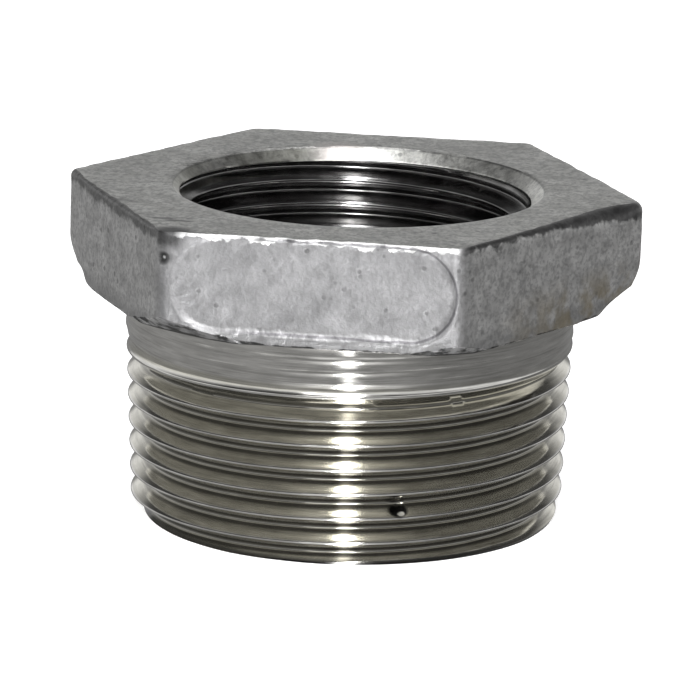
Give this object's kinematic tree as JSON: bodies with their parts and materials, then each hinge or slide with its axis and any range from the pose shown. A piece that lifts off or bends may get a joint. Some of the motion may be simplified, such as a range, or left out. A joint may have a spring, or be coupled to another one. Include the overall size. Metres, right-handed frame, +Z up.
{
  "type": "hexagon reducing bush",
  "caption": "Hexagon-headed pipe reducing bush: male taper thread outside, smaller female thread through the middle.",
  "frame": {"origin": "centre of the male thread's small end, which is the lowest face", "axes": "+Z up the common axis of both threads, from the male thread's small end to the hexagon head; two flats of the hexagon face -Y and +Y"},
  "size_m": [0.0544, 0.0474, 0.031],
  "materials": {
    "cast_stainless": "investment-cast satin grey, machined bright on the threads"
  },
  "bodies": {
    "root": {"hex_reducing_bush": "cast_stainless"}
  },
  "joints": []
}
